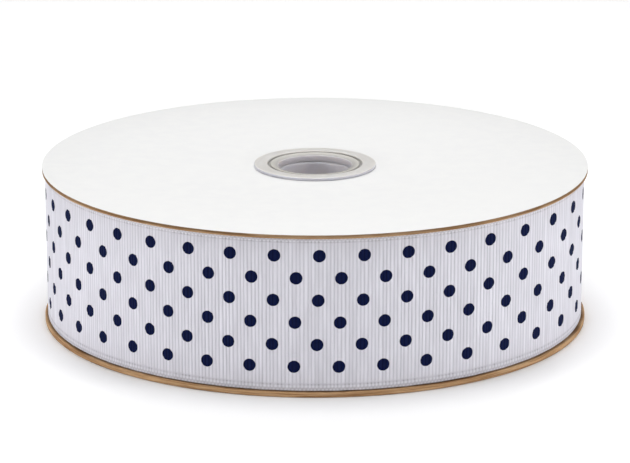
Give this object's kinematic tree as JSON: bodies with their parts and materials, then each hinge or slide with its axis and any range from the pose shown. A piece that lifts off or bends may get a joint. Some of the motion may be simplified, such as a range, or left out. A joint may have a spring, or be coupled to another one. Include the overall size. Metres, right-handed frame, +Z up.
{
  "type": "roll of decorative ribbon on a spool",
  "caption": "Wide ribbed ribbon with dots, wound tightly on a spool of two thin card discs held by a plastic hub with a through bore.",
  "frame": {"origin": "on the spool's axis, at the plane that the lower disc rests on", "axes": "+Z up along the spool's axis; -Y faces the viewer of the picture; the ribbon's cut end lies at +Y"},
  "size_m": [0.1412, 0.1412, 0.041],
  "materials": {
    "ribbon": "cool white woven grosgrain with crosswise ribs and printed navy dots, soft and barely glossy",
    "card": "brown kraft card, coated matt white on its outer face, with a bare brown cut edge and inner face",
    "hub": "frosted natural plastic, slightly cloudy, soft sheen"
  },
  "bodies": {
    "root": {"ribbon_roll": "ribbon", "flange_top": "card", "flange_bottom": "card", "hub_upper": "hub", "hub_lower": "hub"}
  },
  "joints": []
}
